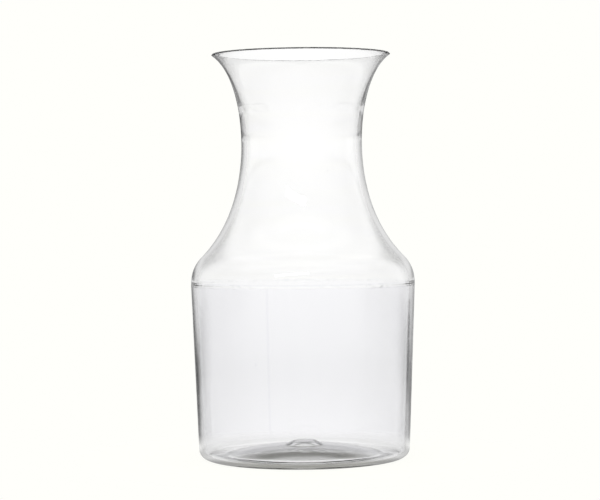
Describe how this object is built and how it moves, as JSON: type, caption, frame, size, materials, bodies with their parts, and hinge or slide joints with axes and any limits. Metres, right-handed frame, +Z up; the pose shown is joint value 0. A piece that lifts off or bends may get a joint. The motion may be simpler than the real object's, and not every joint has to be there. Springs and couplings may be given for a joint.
{
  "type": "wine carafe",
  "caption": "Clear moulded carafe for wine: tapered cup with push-up base, rounded shoulder, waisted neck and flared mouth collar, lapped and cemented at shoulder and neck.",
  "frame": {"origin": "on the axis, on the table under the foot ring", "axes": "+Z up along the axis of turning, from the foot ring to the mouth; X and Y are level and alike"},
  "size_m": [0.1108, 0.1108, 0.2003],
  "materials": {
    "clear_styrene": "clear moulded polystyrene, polished mould surface",
    "clouded_cement": "clear solvent cement with small trapped bubbles"
  },
  "bodies": {
    "root": {"cup": "clear_styrene", "shoulder_cement": "clouded_cement", "neck_bell": "clear_styrene", "neck_cement": "clouded_cement", "mouth_collar": "clear_styrene"}
  },
  "joints": []
}
